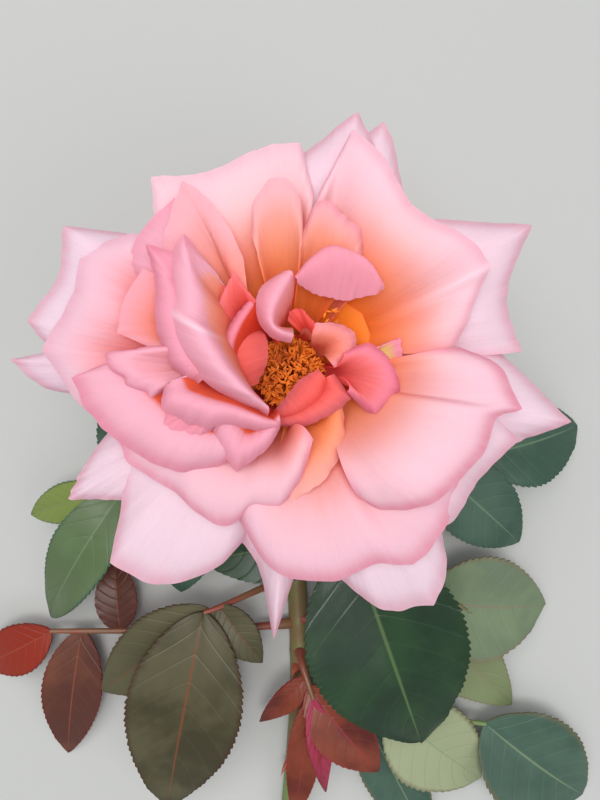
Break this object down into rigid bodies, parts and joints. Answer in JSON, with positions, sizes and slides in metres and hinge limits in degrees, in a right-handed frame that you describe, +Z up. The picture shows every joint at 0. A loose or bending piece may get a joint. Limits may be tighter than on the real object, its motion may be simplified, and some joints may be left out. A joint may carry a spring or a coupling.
{
  "type": "cut rose shoot with one open bloom",
  "caption": "Cut flowering rose shoot: one open pink bloom facing up on a bent neck, over a prickly stem lying on its side with green, bronze and red leaves.",
  "frame": {"origin": "on the floor, under the middle of the whole shoot's box", "axes": "+Z up, the way the bloom faces; -Y along the lying stem to its cut; +X to the right with the bloom at the top"},
  "size_m": [0.2016, 0.236, 0.0826],
  "materials": {
    "petal": "soft matt petal, pink with a peach and orange foot",
    "stamen": "powdery orange brown anthers",
    "calyx": "matt green",
    "stem": "smooth green bark, reddish on top",
    "green_leaf": "semi-gloss dark green leaf",
    "pale_leaf": "satin grey green leaf",
    "bronze_leaf": "semi-gloss bronze olive leaf",
    "red_leaf": "glossy young red leaf"
  },
  "bodies": {
    "root": {"bloom": "petal", "stamens": "stamen", "calyx": "calyx", "neck": "stem", "stem": "stem", "leaf_right_upper": "green_leaf", "leaf_left_upper": "green_leaf", "leaf_front": "green_leaf", "leaf_right_pale": "pale_leaf", "leaf_bronze": "bronze_leaf", "leaf_red_bronze": "red_leaf", "leaf_young_red": "red_leaf", "leaf_right_lower": "green_leaf"}
  },
  "joints": []
}
